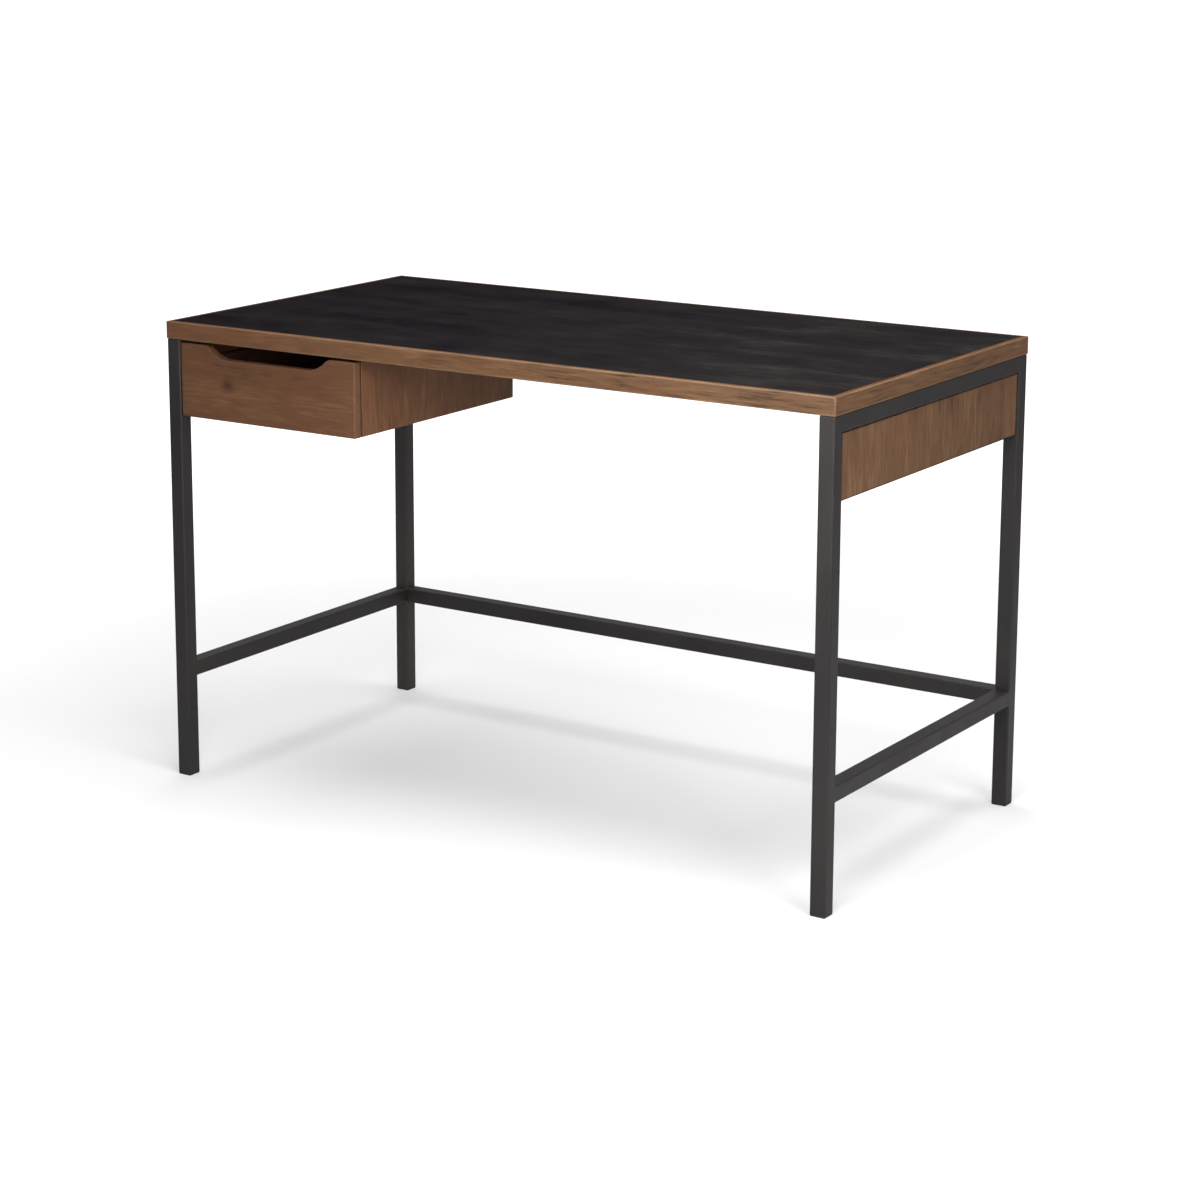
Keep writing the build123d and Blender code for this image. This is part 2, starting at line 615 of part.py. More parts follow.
def drawer():
    """The drawer: its front, two sides, back and bottom sheet, with dowels and screws."""
    plane = Plane(origin=(0, FRONT_BACK_Y, 0), x_dir=(1, 0, 0), z_dir=(0, -1, 0))
    front = extrude(plane * front_outline(), FRONT_THICK)
    by_depth = front.faces().sort_by(Axis.Y)
    front = fillet(by_depth[0].edges() + by_depth[-1].edges(), FRONT_ROUND)

    in_left = BOX_LEFT + BOX_WALL
    in_right = BOX_RIGHT - BOX_WALL
    sheet_top = BOTTOM_SHEET_Z + BOTTOM_SHEET
    sheet = block(in_left - GROOVE_DEPTH, in_right + GROOVE_DEPTH, FRONT_BACK_Y - GROOVE_DEPTH, BOX_BACK_Y,
                  BOTTOM_SHEET_Z, sheet_top)
    groove_out = GROOVE_DEPTH + GROOVE_SLACK
    groove = block(in_left - groove_out, in_right + groove_out, FRONT_BACK_Y - groove_out, BOX_BACK_Y + 1,
                   BOTTOM_SHEET_Z - GROOVE_SLACK, sheet_top + GROOVE_SLACK)

    back_front_y = BOX_BACK_Y - BOX_WALL
    dowel, dowel_hole = dowel_and_hole()
    dowel_places = []
    for x in (BOX_LEFT + BOX_WALL / 2, BOX_RIGHT - BOX_WALL / 2):
        for z in BOX_JOINT_ZS:
            dowel_places.append(Pos(x, FRONT_BACK_Y, z) * Rot(90, 0, 0))
    dowels = [place * dowel for place in dowel_places]
    dowel_holes = [place * dowel_hole for place in dowel_places]

    back_places = []
    for x, into in ((BOX_LEFT + BACK_SCREW.head_h, INTO_RIGHT), (BOX_RIGHT - BACK_SCREW.head_h, INTO_LEFT)):
        for z in BOX_JOINT_ZS:
            back_places.append(Pos(x, BOX_BACK_Y - BOX_WALL / 2, z) * into)
    back_screws, back_pilots = place_screws(BACK_SCREW, back_places)
    head_sink = Cylinder(BACK_SCREW.head_r + PILOT_SLACK, 2 * BACK_SCREW.head_h)
    head_sinks = [place * Pos(0, 0, -BACK_SCREW.head_h) * head_sink for place in back_places]

    faces = [(BOX_LEFT - RUNNER_WEB, INTO_RIGHT), (BOX_RIGHT + RUNNER_WEB, INTO_LEFT)]
    runner_screws, runner_pilots = runner_screw_row(faces)

    holes = dowel_holes + back_pilots + head_sinks + runner_pilots
    nodes = {}
    for name, x0, x1 in (("left", BOX_LEFT, in_left), ("right", in_right, BOX_RIGHT)):
        side = block(x0, x1, FRONT_BACK_Y, BOX_BACK_Y, BOX_BOTTOM, BOX_TOP)
        top_edges = side.edges().filter_by(Axis.Y).sort_by(Axis.Z)[-2:]
        side = fillet(top_edges, SIDE_ROUND)
        nodes[f"drawer_side_{name}"] = drill(side - groove, holes)
    back = block(in_left, in_right, back_front_y, BOX_BACK_Y, sheet_top, BOX_TOP - BACK_SHY)
    nodes["drawer_back"] = drill(back, back_pilots)
    nodes["drawer_front"] = drill(front - groove, dowel_holes)
    nodes["drawer_bottom"] = sheet
    nodes["drawer_dowels"] = join(dowels)
    nodes["drawer_back_screws"] = join(back_screws)
    nodes["runner_inner_screws"] = join(runner_screws)
    return nodes


# ---------------------------------------------------------------- the whole desk
def desk():
    """Every piece of the desk, by its node's name."""
    fixings, tab_pilots = top_fixings()
    case, bracket_pilots = drawer_case()
    nodes = {}
    nodes.update(frame_tubes())
    nodes.update(leg_caps())
    nodes.update(foot_glides())
    nodes.update(fixings)
    nodes.update(end_panels())
    nodes.update(lipping())
    nodes.update(board(tab_pilots + bracket_pilots))
    nodes.update(case)
    nodes.update(runners())
    nodes.update(drawer())
    return nodes


os.makedirs("parts", exist_ok=True)
for name, shape in desk().items():
    export_step(shape, f"parts/{name}.step")
    print(name, len(shape.solids()))
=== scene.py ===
# %% [markdown]
# # A writing desk on a steel frame
# The desk is a black board edged in brown wood, standing on welded square tube, with one drawer hung
# under its left end. The CAD model already fixes every size and place, so this lesson starts by loading
# it and never moves it. What is left to do is what an eye notices: softened edges, grain, paint and light.

# %% Load the frame
import bmesh
import bpy
import math
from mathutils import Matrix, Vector


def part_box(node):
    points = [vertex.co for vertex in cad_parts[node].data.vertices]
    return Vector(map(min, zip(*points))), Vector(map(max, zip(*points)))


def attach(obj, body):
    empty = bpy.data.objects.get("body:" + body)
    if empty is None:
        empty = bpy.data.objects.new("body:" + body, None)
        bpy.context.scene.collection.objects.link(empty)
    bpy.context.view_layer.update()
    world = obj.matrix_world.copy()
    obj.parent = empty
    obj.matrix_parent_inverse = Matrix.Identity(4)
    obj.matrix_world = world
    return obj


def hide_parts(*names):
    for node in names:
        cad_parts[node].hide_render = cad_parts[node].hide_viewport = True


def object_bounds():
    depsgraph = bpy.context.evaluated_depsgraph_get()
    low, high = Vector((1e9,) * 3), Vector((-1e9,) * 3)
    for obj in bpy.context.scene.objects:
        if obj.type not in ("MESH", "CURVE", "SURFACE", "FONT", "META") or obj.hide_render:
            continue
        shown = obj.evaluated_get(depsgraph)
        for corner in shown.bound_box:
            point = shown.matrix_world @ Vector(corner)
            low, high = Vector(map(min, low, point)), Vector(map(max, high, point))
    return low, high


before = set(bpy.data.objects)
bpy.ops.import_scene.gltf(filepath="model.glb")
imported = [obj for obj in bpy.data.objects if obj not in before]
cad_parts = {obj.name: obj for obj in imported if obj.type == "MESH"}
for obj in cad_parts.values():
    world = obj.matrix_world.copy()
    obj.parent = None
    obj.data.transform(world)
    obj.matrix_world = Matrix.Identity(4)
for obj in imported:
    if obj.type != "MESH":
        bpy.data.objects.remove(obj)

cad_low, cad_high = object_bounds()
cad_size = cad_high - cad_low
MM = 0.001
print("desk box in mm:", [round(v / MM) for v in cad_size])

# %% [markdown]
# ## The camera
# A desk is best shown from a little to the right and a little above, with a long lens, so that the legs
# stay nearly parallel. A small lens shift keeps the camera more level than pointing it down at the desk
# would, which is what a view camera does in a studio.

# %% Camera
CAMERA_PLACE = Vector((2.419, -3.742, 1.461))
CAMERA_TURN = math.radians(33.89)
CAMERA_DIP = math.radians(11.6)
CAMERA_LENS = 86.6
CAMERA_SHIFT = (0.05, -0.12)
SENSOR_WIDTH = 36
FARTHEST_SEEN = 100

camera = bpy.data.objects.new("camera", bpy.data.cameras.new("camera"))
bpy.context.scene.collection.objects.link(camera)
camera.location = CAMERA_PLACE
camera.rotation_euler = (math.pi / 2 - CAMERA_DIP, 0, CAMERA_TURN)
camera.data.sensor_width = SENSOR_WIDTH
camera.data.lens = CAMERA_LENS
camera.data.shift_x, camera.data.shift_y = CAMERA_SHIFT
camera.data.clip_end = FARTHEST_SEEN
bpy.context.scene.camera = camera
print("camera to desk:", round((camera.location - (cad_low + cad_high) / 2).length, 2), "m")

# %% [markdown]
# ## A short way to write a finish
# A finish in Blender is a graph of small nodes. Written out one link at a time it gets long, so these
# helpers make a node, feed its sockets and hand back its output. Every pattern starts from the piece's
# own position in metres, so a grain line that is 1 mm wide here is 1 mm wide on the desk.

# %% Finish helpers
ARRIS = "arris"
SOAK_AND_SHADE = "soak_and_shade"


class Finish:
    """A material being written: each call adds one node and returns the socket it puts out."""

    def __init__(self, name, roughness, specular):
        self.material = bpy.data.materials.new(name)
        self.material.use_nodes = True
        self.tree = self.material.node_tree
        self.shader = self.tree.nodes["Principled BSDF"]
        self.shader.inputs["Roughness"].default_value = roughness
        self.shader.inputs["Specular IOR Level"].default_value = specular
        self.place = self.tree.nodes.new("ShaderNodeTexCoord").outputs["Object"]

    def feed(self, socket, value):
        """A socket takes either another node's output or a plain value."""
        if isinstance(value, bpy.types.NodeSocket):
            self.tree.links.new(value, socket)
        else:
            socket.default_value = value

    def node(self, kind, inputs, **settings):
        """Any node: its inputs by name or number, its settings by name."""
        made = self.tree.nodes.new(kind)
        for key, value in settings.items():
            setattr(made, key, value)
        for key, value in inputs.items():
            self.feed(made.inputs[key], value)
        return made

    def math(self, operation, first, second=0.0, clamp=False):
        made = self.node("ShaderNodeMath", {0: first, 1: second}, operation=operation, use_clamp=clamp)
        return made.outputs[0]

    def mapped(self, scale, offset=(0, 0, 0)):
        """The piece's position, moved and stretched for one pattern."""
        made = self.node("ShaderNodeMapping", {"Vector": self.place, "Location": offset, "Scale": scale})
        return made.outputs[0]

    def noise(self, where, detail=3.0, roughness=0.5, distortion=0.0):
        """Soft noise whose spots are one unit apart, so that the stretch of where sets their size."""
        made = self.node("ShaderNodeTexNoise", {"Vector": where, "Scale": 1.0, "Detail": detail,
                                                "Roughness": roughness, "Distortion": distortion})
        return made.outputs["Fac"]

    def band(self, value, low, high, out_low=0.0, out_high=1.0):
        """value stretched so that low becomes out_low and high becomes out_high, with soft ends."""
        made = self.node("ShaderNodeMapRange", {"Value": value, "From Min": low, "From Max": high,
                                                "To Min": out_low, "To Max": out_high},
                         interpolation_type="SMOOTHSTEP")
        return made.outputs[0]

    def mix(self, amount, first, second):
        """Two colours mixed."""
        made = self.node("ShaderNodeMix", {}, data_type="RGBA", blend_type="MIX")
        self.feed(made.inputs[0], amount)
        self.feed(made.inputs[6], first)
        self.feed(made.inputs[7], second)
        return made.outputs[2]

    def arris(self):
        """1 on the softened edges of a piece and 0 on its faces."""
        return self.node("ShaderNodeAttribute", {}, attribute_name=ARRIS).outputs["Fac"]

    def soak_and_shade(self):
        """How dark a face is made: 0 on a long-grain face, up to 1 in end grain or under painted shade."""
        return self.node("ShaderNodeAttribute", {}, attribute_name=SOAK_AND_SHADE).outputs["Fac"]

    def bump(self, height, distance, strength):
        made = self.node("ShaderNodeBump", {"Height": height, "Distance": distance, "Strength": strength})
        self.feed(self.shader.inputs["Normal"], made.outputs[0])

    def colour(self, value):
        self.feed(self.shader.inputs["Base Color"], value)

    def gloss(self, value):
        self.feed(self.shader.inputs["Roughness"], value)


def shade(red, green, blue):
    """A colour for a socket."""
    return (red, green, blue, 1.0)


print("finishes read the attributes", ARRIS, "and", SOAK_AND_SHADE)

# %% [markdown]
# ## The floor
# The studio floor is white paper that runs out of sight. A sweep of paper lit by its own lamps looks
# white however little light falls on it, so this one glows a little, and more with distance, while the
# shadow under the desk stays. It does not belong to the desk and rides on no body. It has one side
# only, like one-way glass, so the underside of the desk can be looked at too.

# %% Floor
FLOOR_SPREAD = 60
PAPER = 0.5
GLOW_NEAR, GLOW_FAR = 0.26, 1.05
GLOW_STARTS, GLOW_FULL = 1.0, 2.8


def paper_finish():
    """White paper. Away from the desk it glows, as a sweep lit by its own lamps does."""
    finish = Finish("studio_paper", 0.9, 0.1)
    finish.shader.inputs["Base Color"].default_value = shade(PAPER, PAPER, PAPER)
    finish.shader.inputs["Emission Color"].default_value = shade(1, 1, 1)
    distance = finish.node("ShaderNodeVectorMath", {0: finish.place}, operation="LENGTH").outputs["Value"]
    glow = finish.band(distance, GLOW_STARTS, GLOW_FULL, GLOW_NEAR, GLOW_FAR)
    seen = finish.node("ShaderNodeLightPath", {}).outputs["Is Camera Ray"]
    finish.feed(finish.shader.inputs["Emission Strength"], finish.math("MULTIPLY", glow, seen))
    clear = finish.node("ShaderNodeBsdfTransparent", {}).outputs[0]
    below = finish.node("ShaderNodeNewGeometry", {}).outputs["Backfacing"]
    sided = finish.node("ShaderNodeMixShader", {0: below, 1: finish.shader.outputs[0], 2: clear}).outputs[0]
    finish.feed(finish.tree.nodes["Material Output"].inputs["Surface"], sided)
    return finish.material


floor_mesh = bmesh.new()
bmesh.ops.create_grid(floor_mesh, x_segments=1, y_segments=1, size=FLOOR_SPREAD)
floor_data = bpy.data.meshes.new("studio_floor")
floor_mesh.to_mesh(floor_data)
floor_mesh.free()
floor_data.materials.append(paper_finish())
floor = bpy.data.objects.new("studio_floor", floor_data)
bpy.context.scene.collection.objects.link(floor)
print("the glow is full", GLOW_FULL, "m from the desk")

# %% [markdown]
# ## The lights
# A big soft light hangs overhead and slightly behind. A softbox at the front right makes the wood brighter
# towards that end, and another stands further round to the right. Pale surroundings fill the shadows, more
# from low down than from above, because the overhead light's own frame hides the ceiling.

# %% Lights
FILL_LOW, FILL_HIGH = 0.50, 0.16
FADE_FROM, FADE_TO = 0.30, 0.75


def softbox(name, place, aim, width, height, power):
    """A rectangular softbox at a place, facing a point."""
    lamp = bpy.data.objects.new(name, bpy.data.lights.new(name, "AREA"))
    lamp.data.shape = "RECTANGLE"
    lamp.data.size, lamp.data.size_y = width, height
    lamp.data.energy = power
    lamp.location = place
    lamp.rotation_euler = (Vector(aim) - Vector(place)).to_track_quat("-Z", "Y").to_euler()
    bpy.context.scene.collection.objects.link(lamp)
    print(name, power, "W")


softbox("overhead_light", (0.0, 0.25, 2.9), (0, 0, 0), width=3.2, height=2.4, power=125)
softbox("front_right_light", (0.62, -1.35, 1.15), (0.2, -0.3, 0.65), width=0.9, height=0.9, power=31)
softbox("right_light", (2.05, -0.95, 1.55), (0.5, 0, 0.5), width=1.0, height=1.0, power=30)

# %% [markdown]
# ## The surroundings
# The world behind the desk is white where the camera sees it, and a weaker white where it only lights the
# desk: a bright backdrop and a gentle fill, chosen by whether a ray comes straight from the camera.

# %% Surroundings
world = bpy.data.worlds.new("studio")
world.use_nodes = True
bpy.context.scene.world = world
sky = world.node_tree
fill = sky.nodes["Background"]
fill.inputs["Color"].default_value = shade(1, 1, 1)
upward = sky.nodes.new("ShaderNodeSeparateXYZ")
sky.links.new(sky.nodes.new("ShaderNodeTexCoord").outputs["Generated"], upward.inputs[0])
fade = sky.nodes.new("ShaderNodeMapRange")
fade.inputs["From Min"].default_value, fade.inputs["From Max"].default_value = FADE_FROM, FADE_TO
fade.inputs["To Min"].default_value, fade.inputs["To Max"].default_value = FILL_LOW, FILL_HIGH
sky.links.new(upward.outputs["Z"], fade.inputs["Value"])
sky.links.new(fade.outputs[0], fill.inputs["Strength"])
backdrop = sky.nodes.new("ShaderNodeBackground")
backdrop.inputs["Color"].default_value = shade(1, 1, 1)
backdrop.inputs["Strength"].default_value = GLOW_FAR
seen = sky.nodes.new("ShaderNodeLightPath")
choose = sky.nodes.new("ShaderNodeMixShader")
sky.links.new(seen.outputs["Is Camera Ray"], choose.inputs["Fac"])
sky.links.new(fill.outputs["Background"], choose.inputs[1])
sky.links.new(backdrop.outputs["Background"], choose.inputs[2])
sky.links.new(choose.outputs["Shader"], sky.nodes["World Output"].inputs["Surface"])
bpy.context.scene.view_settings.view_transform = "Standard"
print("fill light from", FILL_LOW, "near the floor to", FILL_HIGH, "overhead")

# %% [markdown]
# ## Brown stained wood
# The edging, drawer front, case and end panels are one close-grained wood, wiped with a walnut stain and
# finished satin. Stained wood is not one brown: broad cloudy patches where the stain took unevenly, long
# growth lines, fine fibres and short dark pores all lie along the grain. Each layer here is noise that is
# stretched along the grain, and the same layers move the gloss and the surface. Along the softened edges
# the stain is rubbed thinner and a painted highlight is laid on, so they are paler. Every board gets its
# own stretch of the pattern, because no two boards come from the same place in the tree.

# %% Shades of stain
STAIN_SHADES = {
    "dark": (0.036, 0.0135, 0.0052),
    "mid": (0.085, 0.0360, 0.0158),
    "light": (0.138, 0.0660, 0.0310),
    "red": (0.104, 0.0340, 0.0145),
    # the edge shade: stain rubbed thin, and a painted highlight
    "rubbed": (0.150, 0.0820, 0.0440),
    "eye": (0.014, 0.0055, 0.0030),
}
OLIVE_GREEN, OLIVE_BLUE = 0.14, 0.16


class Stain:
    """The shades of one stained board. olive moves them from red-brown to a greyer brown, contrast
    says how strongly its fibres show, and the last how much painted shade, a redder brown, lies at the left
    end."""

    def __init__(self, depth=1.0, olive=0.0, contrast=1.0, left_end_shade=0.0):
        self.contrast = contrast
        self.left_end_shade = left_end_shade
        greener, bluer = 1 + OLIVE_GREEN * olive, 1 + OLIVE_BLUE * olive
        for name, (red, green, blue) in STAIN_SHADES.items():
            setattr(self, name, shade(depth * red, depth * green * greener, depth * blue * bluer))


print("stain shades:", ", ".join(STAIN_SHADES))

# %% [markdown]
# ## Layers of grain
# Each layer is one noise, stretched so that it is long along the grain and narrow across it. The numbers
# below say how many times it repeats in a metre each way. The growth lines are the broad figure folded
# back on itself many times, so they follow it as rings follow the shape of a trunk.

# %% Layers of grain
GRAIN_TURN = {
    "X": (0, 0, 0),
    "Y": (0, 0, -math.pi / 2),
    "Z": (0, math.pi / 2, 0),
}
SEED_STEP = (3.71, 1.93, 2.57)
RINGS = 13.0


def grain_layers(finish, grain, seed, around=None):
    """The layers that every wood here shares, as sockets from 0 to 1."""
    offset = [seed * step for step in SEED_STEP]
    turned = finish.node("ShaderNodeMapping", {"Vector": finish.place, "Rotation": GRAIN_TURN[grain]})
    along = turned.outputs[0]
    if around:
        along = around(finish, along)

    def stretched(lengthwise, across, **settings):
        where = finish.node("ShaderNodeMapping", {"Vector": along, "Location": offset,
                                                  "Scale": (lengthwise, across, across)}).outputs[0]
        return finish.noise(where, **settings)

    figure = stretched(1.5, 17, detail=3, roughness=0.55, distortion=0.35)
    rings = finish.math("PINGPONG", finish.math("MULTIPLY", figure, RINGS), 1.0)
    return {
        "figure": finish.band(figure, 0.30, 0.70),
        "lines": finish.band(rings, 0.55, 1.0),
        "fibres": stretched(20, 420, detail=4, roughness=0.65),
        "pores": finish.band(stretched(38, 1300, detail=2), 0.60, 0.74),
        "streaks": stretched(24, 230, detail=3, roughness=0.6),
        "clouds": stretched(7, 13, detail=3, roughness=0.55),
        "red": finish.band(stretched(3.5, 26, detail=2), 0.52, 0.78),
    }


def sum_of(finish, start, *shares):
    """start plus each layer's swing about its middle, times its weight."""
    total = start
    for layer, weight in shares:
        swing = finish.math("MULTIPLY", finish.math("SUBTRACT", layer, 0.5), weight)
        total = finish.math("ADD", total, swing)
    return total


print("grain runs along", ", ".join(GRAIN_TURN))

# %% [markdown]
# ## The finish itself
# The layers are added up to one value, which picks a shade between dark, middle and light. Red patches,
# a painted shade towards the left end, the darker end grain with painted shade on some faces, and the
# paler edges, rubbed thin and painted as a highlight, are laid over that. The gloss follows the fibres,
# because a pore drinks more varnish than the hard wood beside it.

# %% Stained wood
RED_PATCHES = 0.30
END_GRAIN_AND_SHADE_DARK = 0.85
SATIN_SMOOTH, SATIN_ROUGH = 0.44, 0.60
SATIN_SHINE, SOAKED_SHINE = 0.25, 0.02
SOAKED_ROUGHER = 0.45
LEFT_END, LEFT_SHADE_GONE = -0.7, 0.3
PORE_DEPTH = 0.00018


def stained_wood(name, grain, seed, tone=0.5, stain=Stain(), wear_and_highlight=1.0, around=None, knot=None):
    """Brown stained wood. tone lightens or darkens the board, the wear setting pales its edges, partly as
    rubbed stain and partly as a painted highlight, knot paints one.
    """
    finish = Finish(name, 0.5, SATIN_SHINE)
    layer = grain_layers(finish, grain, seed, around)
    value = sum_of(finish, tone, (layer["figure"], 0.22), (layer["clouds"], 0.70), (layer["lines"], -0.10),
                   (layer["fibres"], 1.10 * stain.contrast), (layer["streaks"], 0.66 * stain.contrast))
    value = finish.math("SUBTRACT", value, finish.math("MULTIPLY", layer["pores"], 0.22), clamp=True)
    brown = finish.mix(finish.band(value, 0.05, 0.5), stain.dark, stain.mid)
    brown = finish.mix(finish.band(value, 0.5, 1.0), brown, stain.light)
    brown = finish.mix(finish.math("MULTIPLY", layer["red"], RED_PATCHES), brown, stain.red)
    # Painted shade: the brown is painted redder towards the desk's left end, away from the lamps.
    if stain.left_end_shade:
        place = finish.node("ShaderNodeSeparateXYZ", {0: finish.place}).outputs["X"]
        brown = finish.mix(finish.band(place, LEFT_END, LEFT_SHADE_GONE, stain.left_end_shade, 0.0), brown, stain.red)
    if knot:
        brown = knot(finish, brown, stain)
    # Darker where the stain soaks into end grain, and painted shade on the edging's top and the case's
    # front edge.
    brown = finish.mix(finish.math("MULTIPLY", finish.soak_and_shade(), END_GRAIN_AND_SHADE_DARK), brown, stain.dark)
    # Paler edges: partly stain rubbed thin, partly a painted highlight along the rounded edges.
    dry = finish.math("SUBTRACT", finish.arris(), finish.soak_and_shade(), clamp=True)
    worn = finish.band(layer["fibres"], 0.25, 0.75, 0.1 * wear_and_highlight, 0.7 * wear_and_highlight)
    rubbed = finish.math("MULTIPLY", dry, worn)
    finish.colour(finish.mix(rubbed, brown, stain.rubbed))
    satin = finish.band(layer["fibres"], 0.2, 0.8, SATIN_SMOOTH, SATIN_ROUGH)
    finish.gloss(finish.math("ADD", satin, finish.math("MULTIPLY", finish.soak_and_shade(), SOAKED_ROUGHER)))
    shine = finish.band(finish.soak_and_shade(), 0.0, 0.5, SATIN_SHINE, SOAKED_SHINE)
    finish.feed(finish.shader.inputs["Specular IOR Level"], shine)
    relief = finish.math("SUBTRACT", finish.math("MULTIPLY", layer["fibres"], 0.5), layer["pores"])
    finish.bump(relief, PORE_DEPTH, 0.55)
    return finish.material


print("satin roughness from", SATIN_SMOOTH, "to", SATIN_ROUGH)

# %% [markdown]
# ## The knot in the drawer front
# One small round knot sits left of the middle of the drawer front. Grain flows round a knot like water
# round a stone, so the pattern's position is pushed sideways near it before any layer is made, and then a
# few dark rings are laid on top.

# %% Knot
front_low, front_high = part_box("drawer_front")
KNOT_RADIUS = 0.0085
KNOT_ALONG, KNOT_UP = 0.094, 0.058
KNOT_SHAPE = (0.8, 0.0, 1.0)
RAGGED = 0.004
RING_STEP = 0.0011
UPRIGHT = (0.0, 0.0, 1.0)
knot_place = Vector((front_low.x + KNOT_ALONG, front_low.y, front_low.z + KNOT_UP))


def vector_math(finish, operation, first, second=(0, 0, 0), **named):
    """One step of vector arithmetic."""
    return finish.node("ShaderNodeVectorMath", {0: first, 1: second, **named}, operation=operation)


def knot_distance(finish, where):
    """Distance from the knot's middle on the drawer front, a little drawn out along the grain."""
    from_knot = vector_math(finish, "SUBTRACT", where, knot_place).outputs[0]
    flat = vector_math(finish, "MULTIPLY", from_knot, KNOT_SHAPE).outputs[0]
    return vector_math(finish, "LENGTH", flat).outputs["Value"], from_knot


def flow_round_knot(finish, along):
    """Squeezes the grain lines together above and below the knot."""
    distance, from_knot = knot_distance(finish, along)
    push = finish.band(distance, 0.0, KNOT_RADIUS * 3.4, 0.62, 0.0)
    sideways = vector_math(finish, "MULTIPLY", from_knot, UPRIGHT).outputs[0]
    shift = vector_math(finish, "SCALE", sideways, Scale=push).outputs[0]
    return vector_math(finish, "SUBTRACT", along, shift).outputs[0]


def paint_knot(finish, brown, stain):
    """A dark eye with a paler halo and two broken rings."""
    distance, _ = knot_distance(finish, finish.place)
    ragged = finish.noise(finish.mapped((260, 260, 260)), detail=3)
    wander = finish.math("MULTIPLY", finish.math("SUBTRACT", ragged, 0.5), RAGGED)
    rim = finish.math("ADD", distance, wander)
    halo = finish.band(rim, KNOT_RADIUS * 0.8, KNOT_RADIUS * 1.9, 0.36, 0.0)
    eye = finish.band(rim, KNOT_RADIUS * 0.2, KNOT_RADIUS * 1.0, 1.0, 0.0)
    rings = finish.band(finish.math("PINGPONG", rim, RING_STEP), 0.0003, 0.0010)
    brown = finish.mix(halo, brown, stain.dark)
    ringed = finish.mix(finish.math("MULTIPLY", rings, 0.45), stain.eye, stain.dark)
    return finish.mix(finish.math("MULTIPLY", eye, 0.55), brown, ringed)


print("knot", round(KNOT_ALONG / MM), "mm from the drawer front's left end")

# %% [markdown]
# ## The black writing surface
# The top is the same kind of wood, stained nearly black and matt, so the grain only shows as faint paler
# brushed streaks, and it is painted a shade paler towards the right-hand end, a painted light where the
# lamps at the right fall on it. It must not shine: at a low angle even a little gloss would mirror the
# studio and turn the black grey. Where it meets the edging, the stain is worn to a thin red-brown line.

# %% Black stained wood
BLACK_DARK = shade(0.0058, 0.0046, 0.0056)
BLACK_MID = shade(0.0110, 0.0098, 0.0106)
BLACK_PALE = shade(0.0235, 0.0210, 0.0190)
RED_LINE = shade(0.036, 0.0120, 0.0070)
MATT_ROUGH, MATT_SMOOTH = 0.70, 0.54


def black_wood(name, seed):
    """Wood stained black, with the grain ghosting through it."""
    finish = Finish(name, 0.6, 0.0)
    layer = grain_layers(finish, "X", seed)
    place = finish.node("ShaderNodeSeparateXYZ", {0: finish.place}).outputs["X"]
    # Painted light: the top is painted a shade paler towards the right-hand end, where the lamps are.
    painted_light_to_right = finish.band(place, -0.7, 0.7)
    value = sum_of(finish, 0.42, (layer["figure"], 0.12), (layer["clouds"], 1.05), (layer["fibres"], 0.95),
                   (layer["lines"], -0.06), (layer["streaks"], 0.40), (painted_light_to_right, 0.36))
    value = finish.math("SUBTRACT", value, finish.math("MULTIPLY", layer["pores"], 0.30), clamp=True)
    black = finish.mix(finish.band(value, 0.0, 0.55), BLACK_DARK, BLACK_MID)
    black = finish.mix(finish.band(value, 0.5, 1.0), black, BLACK_PALE)
    worn = finish.math("MULTIPLY", finish.arris(), finish.band(layer["fibres"], 0.3, 0.7, 0.35, 0.9))
    finish.colour(finish.mix(worn, black, RED_LINE))
    finish.gloss(finish.band(value, 0.1, 0.9, MATT_ROUGH, MATT_SMOOTH))
    relief = finish.math("SUBTRACT", finish.math("MULTIPLY", layer["fibres"], 0.6), layer["pores"])
    finish.bump(relief, 0.00022, 0.6)
    return finish.material


print("black top, matt roughness from", MATT_SMOOTH, "to", MATT_ROUGH)

# %% [markdown]
# ## Powder-coated steel
# The tube is powder coated: a soft black with a very fine orange-peel skin, a shade warmer where light
# catches it, and slightly thinner and paler along the corners. Dust and handling leave faint cloudy marks.

# %% Powder coat
COAT_DARK, COAT_PALE = (0.0098, 0.0078, 0.0080), (0.0150, 0.0121, 0.0118)
COAT_SPECK, COAT_CORNER = (0.034, 0.031, 0.030), (0.020, 0.0165, 0.0150)
PEEL_FINE, SPECK_FINE = 900, 2600


def powder_coat(name, seed, paler=1.0):
    """Black powder coat. paler multiplies all its shades, a painted light that makes a leg look more lit.
    """
    dark = shade(*[paler * part for part in COAT_DARK])
    pale = shade(*[paler * part for part in COAT_PALE])
    finish = Finish(name, 0.5, 0.35)
    offset = (seed * 0.37, seed * 0.61, seed * 0.83)
    peel = finish.noise(finish.mapped([PEEL_FINE] * 3, offset), detail=2, roughness=0.55)
    specks = finish.band(finish.noise(finish.mapped([SPECK_FINE] * 3, offset), detail=1), 0.62, 0.80)
    handling = finish.noise(finish.mapped((9, 9, 5), offset), detail=4, roughness=0.6)
    grey = finish.mix(finish.band(handling, 0.3, 0.7), dark, pale)
    grey = finish.mix(finish.math("MULTIPLY", specks, 0.35), grey, shade(*COAT_SPECK))
    thin = finish.math("MULTIPLY", finish.arris(), finish.band(handling, 0.35, 0.75, 0.0, 0.22))
    finish.colour(finish.mix(thin, grey, shade(*COAT_CORNER)))
    finish.gloss(finish.band(handling, 0.3, 0.7, 0.46, 0.60))
    finish.bump(peel, 0.00009, 0.5)
    return finish.material


print("orange peel bumps are", round(1000 / PEEL_FINE, 1), "mm apart")

